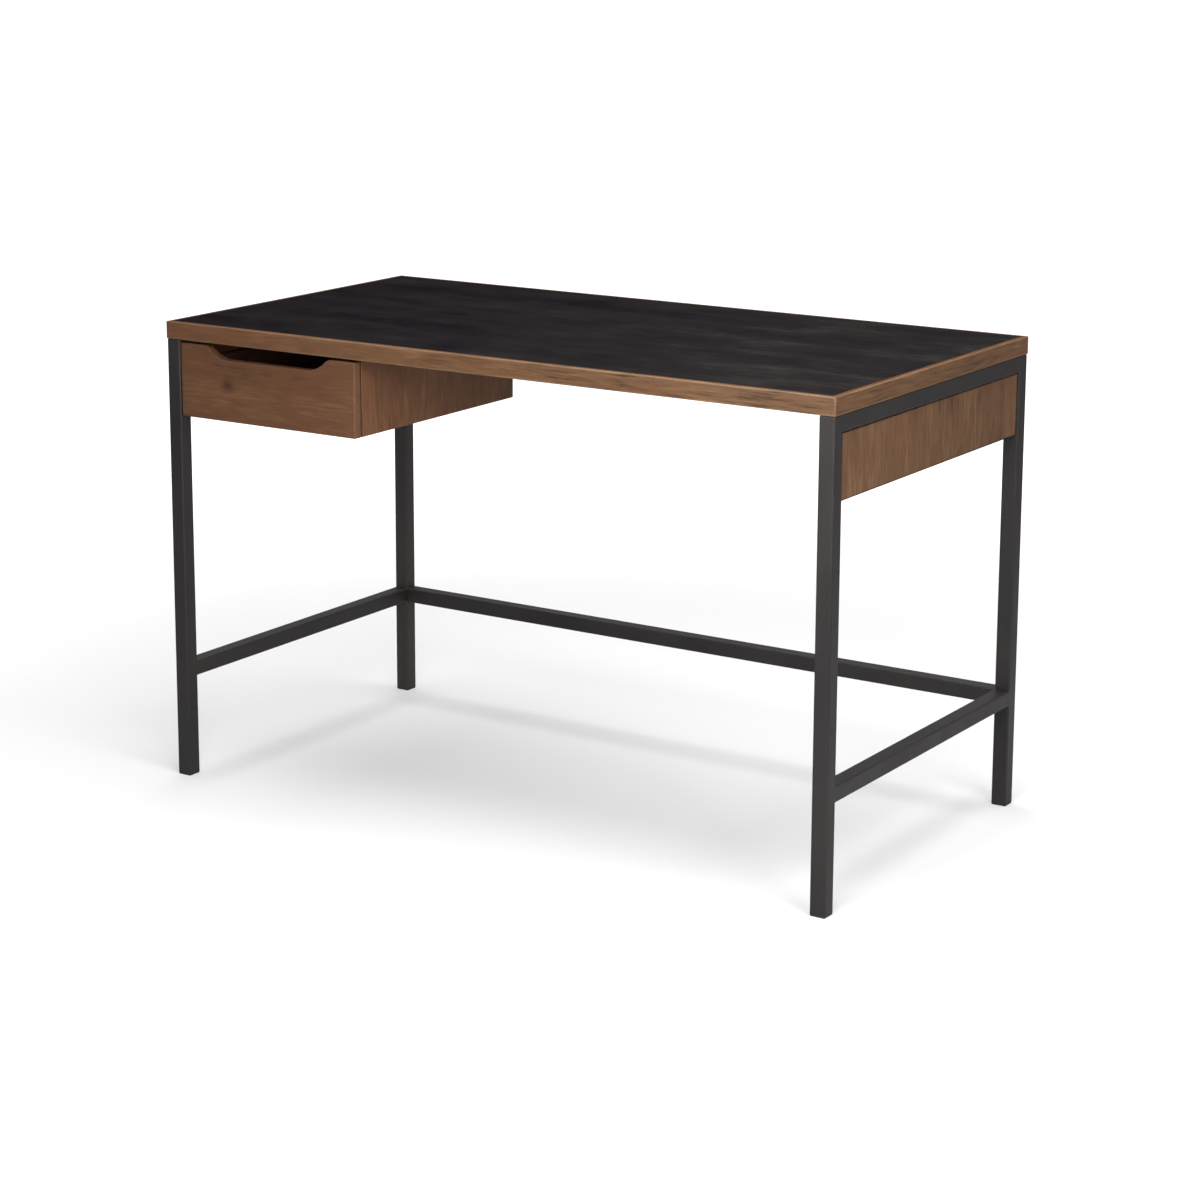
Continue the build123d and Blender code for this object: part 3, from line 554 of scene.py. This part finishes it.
# %% [markdown]
# ## Bright hardware
# Runners, brackets and screws are zinc plated: a cool grey with faint draw lines and a patchy shine. The
# bearing balls are polished. They are seen from below or with the drawer open. Both are metals, so their
# colour is what they reflect, and marks on them show best in the roughness.

# %% Bright hardware
ZINC_BRIGHT, ZINC_DULL = 0.28, 0.46


def zinc_plate(name, seed):
    """Zinc-plated steel, drawn along the runner."""
    finish = Finish(name, 0.35, 0.5)
    finish.shader.inputs["Metallic"].default_value = 1.0
    drawn = finish.noise(finish.mapped((1500, 12, 1500), (seed, seed, seed)), detail=3)
    bloom = finish.noise(finish.mapped((60, 60, 60), (seed, 0, 0)), detail=4, roughness=0.65)
    grey = finish.mix(bloom, shade(0.42, 0.43, 0.45), shade(0.66, 0.67, 0.68))
    finish.colour(finish.mix(finish.band(drawn, 0.4, 0.7, 0.0, 0.35), grey, shade(0.30, 0.31, 0.33)))
    finish.gloss(finish.band(bloom, 0.3, 0.7, ZINC_BRIGHT, ZINC_DULL))
    finish.bump(drawn, 0.00005, 0.4)
    return finish.material


def polished_steel(name):
    """Bearing balls: bright, with the faint marks of running."""
    finish = Finish(name, 0.12, 0.5)
    finish.shader.inputs["Metallic"].default_value = 1.0
    marks = finish.noise(finish.mapped((700, 700, 700)), detail=2)
    finish.colour(finish.mix(marks, shade(0.62, 0.63, 0.65), shade(0.82, 0.83, 0.85)))
    finish.gloss(finish.band(marks, 0.3, 0.7, 0.08, 0.22))
    return finish.material


print("zinc roughness from", ZINC_BRIGHT, "to", ZINC_DULL)

# %% [markdown]
# ## Moulded plastic
# Glides and ball cages come out of a mould whose walls were eroded by sparks, so they carry a fine
# even texture. Scuffs show as paler, rougher patches.

# %% Moulded plastic
ERODED_FINE = 3200


def moulded_plastic(name, dark, pale):
    """Moulded plastic with a fine eroded texture and scuffs."""
    finish = Finish(name, 0.55, 0.3)
    eroded = finish.noise(finish.mapped([ERODED_FINE] * 3), detail=1)
    scuffs = finish.noise(finish.mapped((120, 120, 40)), detail=4, roughness=0.65)
    finish.colour(finish.mix(finish.band(scuffs, 0.45, 0.75), dark, pale))
    finish.gloss(finish.band(scuffs, 0.3, 0.7, 0.5, 0.66))
    finish.bump(eroded, 0.00006, 0.5)
    return finish.material


print("the mould's texture is", round(1000 / ERODED_FINE, 2), "mm fine")

# %% [markdown]
# ## Layered boards
# The drawer's sides are stained ply, and the desk's core is built up in layers too. Ply is sheets of
# veneer glued crosswise, so its edges show stripes. The stripes come from the position through the
# board's thickness, folded back and forth once for each layer, and the face carries the usual grain.

# %% Layered boards
STRIPE_DARK = 0.38


def layered_board(name, grain, seed, dark, pale, layer_axis, layer_count, thick, start):
    """Ply or core: a face grain, and stripes through its thickness on the cut edges."""
    finish = Finish(name, 0.62, 0.2)
    layer = grain_layers(finish, grain, seed)
    value = sum_of(finish, 0.5, (layer["figure"], 0.45), (layer["clouds"], 0.7), (layer["fibres"], 0.9),
                   (layer["streaks"], 0.9), (layer["lines"], -0.25))
    face = finish.mix(value, dark, pale)
    parts = finish.node("ShaderNodeSeparateXYZ", {0: finish.place})
    from_face = finish.math("SUBTRACT", parts.outputs[layer_axis], start)
    depth = finish.math("DIVIDE", from_face, thick / layer_count)
    stripe = finish.band(finish.math("PINGPONG", depth, 1.0), 0.42, 0.58)
    finish.colour(finish.mix(finish.math("MULTIPLY", stripe, STRIPE_DARK), face, dark))
    finish.gloss(finish.band(layer["fibres"], 0.2, 0.8, 0.55, 0.72))
    finish.bump(layer["fibres"], 0.0002, 0.5)
    return finish.material


print("every other layer is", round(100 * STRIPE_DARK), "percent of the way to the dark shade")

# %% [markdown]
# ## Adding a piece
# A finished bmesh becomes an object, rides on the body it belongs to, and stands in for one or more CAD
# nodes. Shading is smooth across the softened edges and breaks only where two faces meet sharply.

# %% Add a piece
SHARP = math.radians(50)


def add_piece(name, bm, finish, body, nodes):
    """Turns a finished bmesh into a piece that rides on a body and stands for CAD nodes."""
    bmesh.ops.recalc_face_normals(bm, faces=bm.faces)
    for face in bm.faces:
        face.smooth = True
    data = bpy.data.meshes.new(name)
    bm.to_mesh(data)
    bm.free()
    data.set_sharp_from_angle(angle=SHARP)
    data.materials.append(finish)
    piece = bpy.data.objects.new(name, data)
    bpy.context.scene.collection.objects.link(piece)
    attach(piece, body)
    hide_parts(*nodes)
    return piece


print("faces that meet at more than", round(math.degrees(SHARP)), "degrees stay sharp")

# %% [markdown]
# ## Boards with softened edges
# Every sawn board has its sharp edges taken off, and those thin rounded edges catch the light, so a plain
# block never looks like wood. A block is made, moved to where the CAD has the board, and bevelled. Then
# each flat face is inset by a hair: the narrow ring that this leaves carries the number 1 at its outer
# rim and 0 at its inner one, and the finishes read that number to find the edges of the piece. A second
# number says how much darker a face is made: how deep the stain has soaked in, which is deepest in end
# grain, and painted shade on a few faces that stand in shadow.

# %% Board helpers
RIM = 1.2 * MM
BROAD_AREA = 0.0002
FACING = 0.9
END_SOAK = 0.7


def block_between(low, high):
    """A bmesh block between two corners."""
    bm = bmesh.new()
    bmesh.ops.create_cube(bm, size=1)
    size = high - low
    bmesh.ops.scale(bm, vec=size, verts=bm.verts)
    bmesh.ops.translate(bm, vec=(low + high) / 2, verts=bm.verts)
    return bm


def soften(bm, edges, radius, segments=3):
    """Rounds edges over by a radius."""
    bmesh.ops.bevel(bm, geom=edges, offset=radius, offset_type="OFFSET", segments=segments, profile=0.5,
                    affect="EDGES", material=-1)


def cut(bm, place, normal, **settings):
    """Cuts the whole mesh with a plane and returns what lies in the cut."""
    everything = bm.verts[:] + bm.edges[:] + bm.faces[:]
    made = bmesh.ops.bisect_plane(bm, geom=everything, plane_co=place, plane_no=normal, **settings)
    return made["geom_cut"]


def across(grain, deep=END_SOAK):
    """A test for faces: how deep the stain goes where the wood is cut across its fibres, 0 elsewhere."""
    axis = "XYZ".index(grain)
    return lambda face: deep if abs(face.normal[axis]) > FACING else 0.0


def mark_arrises(bm, soaked_or_shaded, rim=RIM, smallest=BROAD_AREA):
    """Writes 1 on softened edges and 0 just inside broad faces, and each face's soak or painted shade."""
    arris = bm.verts.layers.float.new(ARRIS)
    soak_and_shade = bm.verts.layers.float.new(SOAK_AND_SHADE)
    bm.normal_update()
    broad = [face for face in bm.faces if face.calc_area() > smallest]
    for vert in bm.verts:
        vert[arris] = 1.0
    for face in broad:
        for vert in face.verts:
            vert[soak_and_shade] = max(vert[soak_and_shade], soaked_or_shaded(face))
    bmesh.ops.inset_individual(bm, faces=broad, thickness=rim, use_even_offset=True)
    for face in broad:
        for vert in face.verts:
            vert[arris] = 0.0
            vert[soak_and_shade] = soaked_or_shaded(face)


def board_piece(name, finish, soaked_or_shaded, radius, shy):
    """A board with all its edges softened, where the CAD has it. shy draws its low corner back."""
    low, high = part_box(name)
    bm = block_between(low + shy, high)
    soften(bm, bm.edges[:], radius)
    mark_arrises(bm, soaked_or_shaded)
    return add_piece(name + "_shown", bm, finish, "root", [name])


print("the worn rim of a board is", round(RIM / MM, 1), "mm wide")

# %% [markdown]
# ## The edging
# The board is edged with four lengths of solid wood, mitred at the corners. Each starts as a block that
# runs the full length of its side. Its outer edges are rounded first, and only then are the ends cut off
# at 45 degrees with a cutting plane, so the rounding runs round the corner as it does when a finished
# edge is mitred. A hair's gap is left at each mitre, which is what makes the joint line visible.

# %% Edging
EDGE_ROUND = 2.0 * MM
EDGE_RIM, EDGE_BROAD_AREA = 0.5 * MM, 0.002
MITRE_GAP = 0.06 * MM
TOP_PAINTED_SHADE = 0.5
SIDE_NAMES = {(0, -1): "front", (0, 1): "back", (-1, 0): "left", (1, 0): "right"}
board_low, board_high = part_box("desktop_core")
outer_low, outer_high = Vector(cad_low), Vector(cad_high)
outer_low.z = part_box("lipping_front")[0].z


def shaded_top_of_edging(face):
    """Painted shade: the top of the edging is painted darker and its edges less pale, against the light
    from above.
    """
    return TOP_PAINTED_SHADE if face.normal.z > FACING else 0.0


def edging_piece(side, grain, seed, tone, stain):
    """One mitred length of edging. side is the outward direction."""
    name = "lipping_" + SIDE_NAMES[side]
    low, high = Vector(outer_low), Vector(outer_high)
    axis = 0 if side[0] else 1
    if side[axis] < 0:
        high[axis] = board_low[axis]
    else:
        low[axis] = board_high[axis]
    bm = block_between(low, high)
    outer_face = max(bm.faces, key=lambda face: face.calc_center_median()[axis] * side[axis])
    soften(bm, outer_face.edges[:], EDGE_ROUND)
    mark_arrises(bm, shaded_top_of_edging, rim=EDGE_RIM, smallest=EDGE_BROAD_AREA)
    along = 1 - axis
    for end in (-1, 1):
        corner = Vector((0, 0, 0))
        corner[axis] = board_low[axis] if side[axis] < 0 else board_high[axis]
        corner[along] = board_low[along] if end < 0 else board_high[along]
        corner[along] -= end * MITRE_GAP
        away = Vector((0, 0, 0))
        away[axis] = -side[axis]
        away[along] = end
        cut(bm, corner, away.normalized(), clear_outer=True)
        rim = [edge for edge in bm.edges if edge.is_boundary]
        bmesh.ops.holes_fill(bm, edges=rim, sides=0)
    finish = stained_wood("stained_" + name, grain, seed, tone, stain)
    return add_piece(name + "_shown", bm, finish, "root", [name])


edging_piece((0, -1), "X", 3, 0.52, Stain(depth=1.04, olive=1.25, contrast=1.25, left_end_shade=0.55))
edging_piece((0, 1), "X", 5, 0.52, Stain(depth=1.04, olive=0.95, contrast=1.25))
edging_piece((-1, 0), "Y", 8, 0.50, Stain(depth=1.1, olive=0.9, contrast=1.25))
edging_piece((1, 0), "Y", 11, 0.50, Stain(depth=1.2, olive=0.95, contrast=1.25))
print("edging shows", round((outer_high.x - board_high.x) / MM, 1), "mm wide on top")

# %% [markdown]
# ## The board inside the edging
# Only the black face is seen from above. Its rim is a fine V where it meets the edging, so it is a thin
# slab with its top edges softened. The balancing sheet below and the core between them only show from
# underneath and in a cut, and keep their CAD shape with a finish of their own.

# %% Board
TOP_ROUND = 0.25 * MM
TOP_RIM, TOP_BROAD_AREA = 1.8 * MM, 0.01
surface_low, surface_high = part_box("desktop_surface")
surface = block_between(surface_low, surface_high)
soften(surface, surface.edges[:], TOP_ROUND, segments=2)
mark_arrises(surface, across("X"), rim=TOP_RIM, smallest=TOP_BROAD_AREA)
add_piece("desktop_surface_shown", surface, black_wood("black_stained_top", 2), "root", ["desktop_surface"])
print("black face in mm:", [round(v / MM) for v in surface_high - surface_low])

# %% [markdown]
# ## End panels and case boards
# The end panels and the case's sides are cut with the grain upright, so that the eye reads them as
# uprights. The case's right side stands a millimetre back from the drawer front, and its front edge is
# painted dark as painted shade for the gap, which draws the thin dark line that is seen beside a closed
# drawer.

# %% Boards
PANEL_STAIN = Stain(depth=1.22, olive=0.85, contrast=1.35)
CASE_STAIN = Stain(depth=1.32, olive=0.2, contrast=1.2)
CASE_STANDS_BACK = Vector((0, 1.0 * MM, 0))


def painted_gap_shade(face):
    """Painted shade: the case's front edge is painted dark, for the shade in the gap beside the drawer."""
    return 1.0 if face.normal.y < -FACING else 0.0


def stained_board(name, grain, seed, tone, stain, wear_and_highlight, radius, soaked_or_shaded=None, shy=Vector((0, 0, 0))):
    """One plain stained board, in place of its CAD node."""
    finish = stained_wood("stained_" + name, grain, seed, tone, stain, wear_and_highlight)
    board_piece(name, finish, soaked_or_shaded or across(grain), radius, shy)
    print(name, "has its grain along", grain)


stained_board("end_panel_right", "Z", 17, 0.52, PANEL_STAIN, wear_and_highlight=0.6, radius=1.2 * MM)
stained_board("end_panel_left", "Z", 21, 0.52, PANEL_STAIN, wear_and_highlight=0.6, radius=1.2 * MM)
stained_board("case_side_right", "Z", 25, 0.50, CASE_STAIN, wear_and_highlight=0.15, radius=0.7 * MM, soaked_or_shaded=painted_gap_shade,
              shy=CASE_STANDS_BACK)
stained_board("case_back", "X", 29, 0.46, CASE_STAIN, wear_and_highlight=0.2, radius=0.5 * MM)
stained_board("case_bottom", "Y", 31, 0.46, CASE_STAIN, wear_and_highlight=0.2, radius=0.5 * MM)

# %% [markdown]
# ## The drawer front
# The drawer has no handle: a shallow scoop is cut into the top edge of its front, wide enough for a hand.
# The outline starts as eight corner points. The four corners of the scoop are rounded in the flat, the
# lower two with a large radius and the upper two with a small one, and then the outline is pulled through
# the board's thickness and its edges are softened all round.

# %% Drawer front
SCOOP_DEPTH = 20 * MM
SCOOP_HALF_TOP = 121 * MM
SCOOP_SLOPE = math.radians(40)
SCOOP_LOW_RADIUS = 48 * MM
SCOOP_TOP_RADIUS = 14 * MM
FRONT_ROUND = 1.2 * MM
FRONT_STAIN = Stain(depth=0.99, olive=0.1, contrast=0.65)
FRONT_WEAR_AND_HIGHLIGHT = 0.35
FRONT_BROAD_AREA = 0.004


def drawer_front():
    """The drawer front, with the scoop in its top edge."""
    middle = (front_low.x + front_high.x) / 2
    floor_z = front_high.z - SCOOP_DEPTH
    half_flat = SCOOP_HALF_TOP - SCOOP_DEPTH / math.tan(SCOOP_SLOPE)
    outline = [
        (front_low.x, front_low.z), (front_high.x, front_low.z), (front_high.x, front_high.z),
        (middle + SCOOP_HALF_TOP, front_high.z), (middle + half_flat, floor_z),
        (middle - half_flat, floor_z), (middle - SCOOP_HALF_TOP, front_high.z),
        (front_low.x, front_high.z),
    ]
    bm = bmesh.new()
    verts = [bm.verts.new((x, front_low.y, z)) for x, z in outline]
    bm.faces.new(verts)
    roundings = [(verts[4:6], SCOOP_LOW_RADIUS, 14), ([verts[3], verts[6]], SCOOP_TOP_RADIUS, 6)]
    for corners, radius, segments in roundings:
        reach = radius * math.tan(SCOOP_SLOPE / 2)
        bmesh.ops.bevel(bm, geom=corners, offset=reach, offset_type="OFFSET", segments=segments,
                        profile=0.5, affect="VERTICES", material=-1)
    made = bmesh.ops.extrude_face_region(bm, geom=bm.faces[:])
    back = [item for item in made["geom"] if isinstance(item, bmesh.types.BMVert)]
    bmesh.ops.translate(bm, vec=(0, front_high.y - front_low.y, 0), verts=back)
    bmesh.ops.recalc_face_normals(bm, faces=bm.faces)
    broad = [face for face in bm.faces if abs(face.normal.y) > FACING]
    rims = list({edge for face in broad for edge in face.edges})
    ends = [edge for edge in bm.edges if edge not in rims and edge.calc_face_angle(0) > 1.0]
    soften(bm, rims + ends, FRONT_ROUND)
    mark_arrises(bm, across("X", deep=1.0), smallest=FRONT_BROAD_AREA)
    finish = stained_wood("stained_drawer_front", "X", 13, 0.50, FRONT_STAIN, FRONT_WEAR_AND_HIGHLIGHT, flow_round_knot,
                          paint_knot)
    return add_piece("drawer_front_shown", bm, finish, "drawer", ["drawer_front"])


drawer_front_piece = drawer_front()
print("drawer front faces:", len(drawer_front_piece.data.polygons))

# %% [markdown]
# ## Square tube
# Tube has rounded corners, and it is those thin highlights down each corner that make it read as tube and
# not as a painted stick. Each length is a square with its four corners rounded, pulled out to the tube's
# length. The welds are ground flush, so each rail runs on into its legs as far as their rounded corner
# goes and fills it, and no joint shows on the outside. The back left leg's coat is painted a shade paler,
# as painted light.

# %% Tubes
TUBE_ROUND = 2.3 * MM
TUBE_RIM = 1.0 * MM
BACK_LEFT_PAINTED_LIGHT = 1.7
STEEL = powder_coat("black_powder_coat", 1)


def tube_piece(name, run, finish=STEEL, reach=0.0):
    """One length of square tube along axis number run. reach runs it on into the legs it is welded to."""
    low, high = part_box(name)
    low[run] -= reach
    high[run] += reach
    bm = block_between(low, high)
    lengthwise = [edge for edge in bm.edges
                  if abs((edge.verts[0].co - edge.verts[1].co)[run]) > 2 * TUBE_ROUND]
    soften(bm, lengthwise, TUBE_ROUND, segments=5)
    layer = bm.verts.layers.float.new(ARRIS)
    for vert in bm.verts:
        vert[layer] = 1.0
    for axis in {0, 1, 2} - {run}:
        normal = Vector((0, 0, 0))
        normal[axis] = 1
        for face_place, way in ((low, 1), (high, -1)):
            for item in cut(bm, face_place + way * (TUBE_ROUND + TUBE_RIM) * normal, normal):
                if isinstance(item, bmesh.types.BMVert):
                    item[layer] = 0.0
    return add_piece(name + "_shown", bm, finish, "root", [name])


tube_piece("leg_front_left", 2)
tube_piece("leg_front_right", 2)
# Painted light: the back left leg's coat is painted paler, as if more light reached it.
tube_piece("leg_back_left", 2, powder_coat("black_powder_coat_painted_lit", 2, BACK_LEFT_PAINTED_LIGHT))
tube_piece("leg_back_right", 2)
for name in ("side_rail_left", "side_rail_right", "stretcher_left", "stretcher_right"):
    tube_piece(name, 1, reach=TUBE_ROUND)
for name in ("rear_rail", "stretcher_rear"):
    tube_piece(name, 0, reach=TUBE_ROUND)
print("tube corner radius", round(TUBE_ROUND / MM, 1), "mm")

# %% [markdown]
# ## Finishes for the CAD pieces that stay
# Screws, tabs, brackets, glides, balls and the hidden boards already have the right shape in the CAD
# model. They keep it, and each gets a finish on its own slot.

# %% Carried-over pieces
PLY_DARK, PLY_PALE = shade(0.024, 0.0085, 0.0054), shade(0.070, 0.0270, 0.0148)
CORE_DARK, CORE_PALE = shade(0.16, 0.105, 0.060), shade(0.33, 0.24, 0.15)
PLASTIC_DARK, PLASTIC_PALE = shade(0.012, 0.012, 0.012), shade(0.035, 0.034, 0.033)
FELT_DARK, FELT_PALE = shade(0.030, 0.020, 0.015), shade(0.060, 0.042, 0.032)
PLY_LAYERS, CORE_LAYERS, DOWEL_LAYERS = 5, 9, 3
DOWEL_THICK = 6 * MM


def give(finish, *nodes):
    """Puts one finish on the slots of CAD nodes."""
    for node in nodes:
        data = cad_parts[node].data
        data.materials.clear()
        data.materials.append(finish)
    print(finish.name, "on", len(nodes), "of the CAD pieces")


def ply(name, axis, box, grain, seed):
    """Stained ply whose layers are stacked along axis number axis of a box."""
    low, high = box
    thick = high[axis] - low[axis]
    return layered_board(name, grain, seed, PLY_DARK, PLY_PALE, axis, PLY_LAYERS, thick, low[axis])


give(ply("ply_drawer_left", 0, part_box("drawer_side_left"), "Y", 41), "drawer_side_left")
give(ply("ply_drawer_right", 0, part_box("drawer_side_right"), "Y", 43), "drawer_side_right")
give(ply("ply_drawer_back", 1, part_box("drawer_back"), "X", 45), "drawer_back")
give(ply("ply_drawer_bottom", 2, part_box("drawer_bottom"), "Y", 47), "drawer_bottom")
give(layered_board("board_core", "X", 51, CORE_DARK, CORE_PALE, 2, CORE_LAYERS, board_high.z - board_low.z,
                   board_low.z), "desktop_core")
give(stained_wood("stained_backing", "X", 53, 0.30), "desktop_backing")
give(stained_wood("stained_case_left", "Z", 27, 0.48), "case_side_left")
give(layered_board("beech_dowels", "X", 55, CORE_DARK, CORE_PALE, 1, DOWEL_LAYERS, DOWEL_THICK, 0.0),
     "case_dowels", "drawer_dowels")
give(STEEL, "leg_caps", "top_fixing_tabs", "panel_tabs")
give(zinc_plate("zinc_runners", 2), "runner_outer_left", "runner_outer_right", "runner_middle_left",
     "runner_middle_right", "runner_inner_left", "runner_inner_right", "case_brackets")
give(zinc_plate("zinc_screws", 7), "top_fixing_screws", "panel_screws", "case_bracket_screws",
     "runner_outer_screws", "runner_inner_screws", "drawer_back_screws")
give(polished_steel("polished_balls"), "balls_outer", "balls_inner")
give(moulded_plastic("black_plastic", PLASTIC_DARK, PLASTIC_PALE),
     "foot_glide_front_left", "foot_glide_front_right", "foot_glide_back_left", "foot_glide_back_right",
     "ball_cages_outer", "ball_cages_inner")
give(moulded_plastic("brown_felt_pads", FELT_DARK, FELT_PALE), "drawer_stop_pads")
